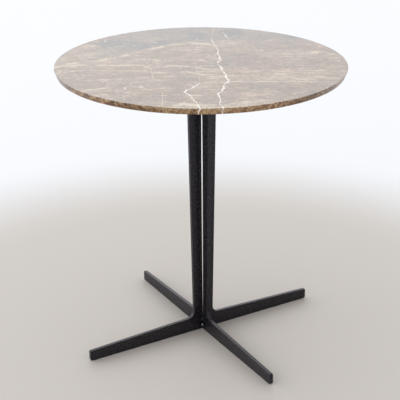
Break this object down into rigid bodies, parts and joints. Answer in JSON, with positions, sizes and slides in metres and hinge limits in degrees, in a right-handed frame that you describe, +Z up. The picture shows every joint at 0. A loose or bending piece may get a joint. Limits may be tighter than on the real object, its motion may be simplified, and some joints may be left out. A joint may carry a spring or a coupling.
{
  "type": "round pedestal table",
  "caption": "Round pedestal table: a thin polished stone top on a column of upright L-shaped steel blades whose feet run out along the floor.",
  "frame": {"origin": "on the floor at the centre of the table, where the feet cross", "axes": "+Z up; the feet lie along +X, +Y, -X and -Y"},
  "size_m": [0.7021, 0.7022, 0.724],
  "materials": {
    "stone": "polished, brown with cream streaks and white veins",
    "black_coat": "fine-textured satin powder coat",
    "zinc_steel": "zinc plated",
    "brass": "turned",
    "rubber": "matte sheet",
    "nylon": "moulded"
  },
  "bodies": {
    "root": {"leg_front_left": "black_coat", "leg_front_right": "black_coat", "leg_back_left": "black_coat", "leg_back_right": "black_coat", "core_block": "black_coat", "core_welds": "black_coat", "top_plate": "black_coat", "blade_screws": "zinc_steel", "stone_screws": "zinc_steel", "stone_washers": "zinc_steel", "stone_inserts": "brass", "top_gasket": "rubber", "stone_top": "stone", "foot_glides": "nylon"}
  },
  "joints": []
}
